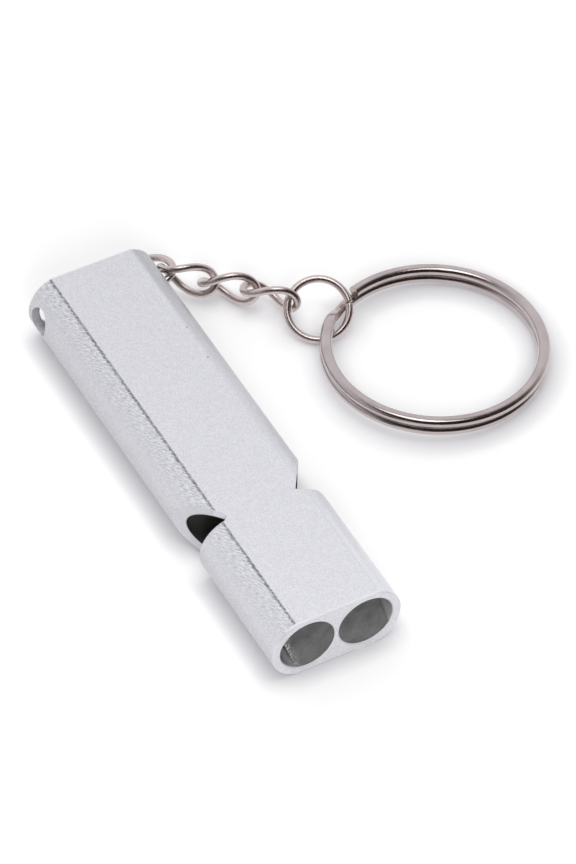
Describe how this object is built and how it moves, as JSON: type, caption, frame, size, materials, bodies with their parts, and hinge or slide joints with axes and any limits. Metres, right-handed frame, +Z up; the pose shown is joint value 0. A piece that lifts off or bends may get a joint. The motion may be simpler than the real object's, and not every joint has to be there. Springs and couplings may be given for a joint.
{
  "type": "survival whistle",
  "caption": "Flat twin-tube metal whistle with side sound windows, on a short chain with a jump ring and a split key ring.",
  "frame": {"origin": "middle of the flat underside of the whistle body", "axes": "+Z up, the mouth end looks along -Y, the tail end along +Y, the chain leaves towards +X"},
  "size_m": [0.0456, 0.053, 0.0073],
  "materials": {
    "body_aluminium": "satin, bead blasted",
    "plug_aluminium": "as machined, dull",
    "chain_steel": "nickel plated, bright",
    "ring_steel": "nickel plated, bright"
  },
  "bodies": {
    "whistle": {"whistle_body": "body_aluminium", "left_windway_plug": "plug_aluminium", "right_windway_plug": "plug_aluminium", "left_tail_plug": "plug_aluminium", "right_tail_plug": "plug_aluminium"},
    "chain_link_1": {"chain_link_1": "chain_steel"},
    "chain_link_2": {"chain_link_2": "chain_steel"},
    "chain_link_3": {"chain_link_3": "chain_steel"},
    "chain_link_4": {"chain_link_4": "chain_steel"},
    "jump_ring": {"jump_ring": "ring_steel"},
    "split_ring": {"split_ring": "ring_steel"}
  },
  "joints": [
    {"name": "link_1_swing", "type": "hinge", "parent": "whistle", "child": "chain_link_1", "pos_m": [0.00613, 0.02496, 0.00365], "axis": [0.2551, -0.1499, -0.9552], "range_deg": [-30, 6]},
    {"name": "link_2_swing", "type": "hinge", "parent": "chain_link_1", "child": "chain_link_2", "pos_m": [0.00809, 0.02336, 0.00332], "axis": [0.8198, 0.366, 0.4405], "range_deg": [-90, 90]},
    {"name": "link_3_swing", "type": "hinge", "parent": "chain_link_2", "child": "chain_link_3", "pos_m": [0.01047, 0.02181, 0.00156], "axis": [0.4251, -0.7855, 0.4497], "range_deg": [-18, 42]},
    {"name": "link_4_swing", "type": "hinge", "parent": "chain_link_3", "child": "chain_link_4", "pos_m": [0.01489, 0.0183, 0.00206], "axis": [0.4969, 0.2109, 0.8418], "range_deg": [-44, 120]},
    {"name": "jump_ring_swing", "type": "hinge", "parent": "chain_link_4", "child": "jump_ring", "pos_m": [0.01755, 0.01515, 0.00177], "axis": [0.29, -0.4831, 0.8261], "range_deg": [-100, 18]},
    {"name": "split_ring_swing", "type": "hinge", "parent": "jump_ring", "child": "split_ring", "pos_m": [0.0219, 0.01181, 0.00181], "axis": [0.53, 0.673, 0.516], "range_deg": [-4, 26]}
  ]
}
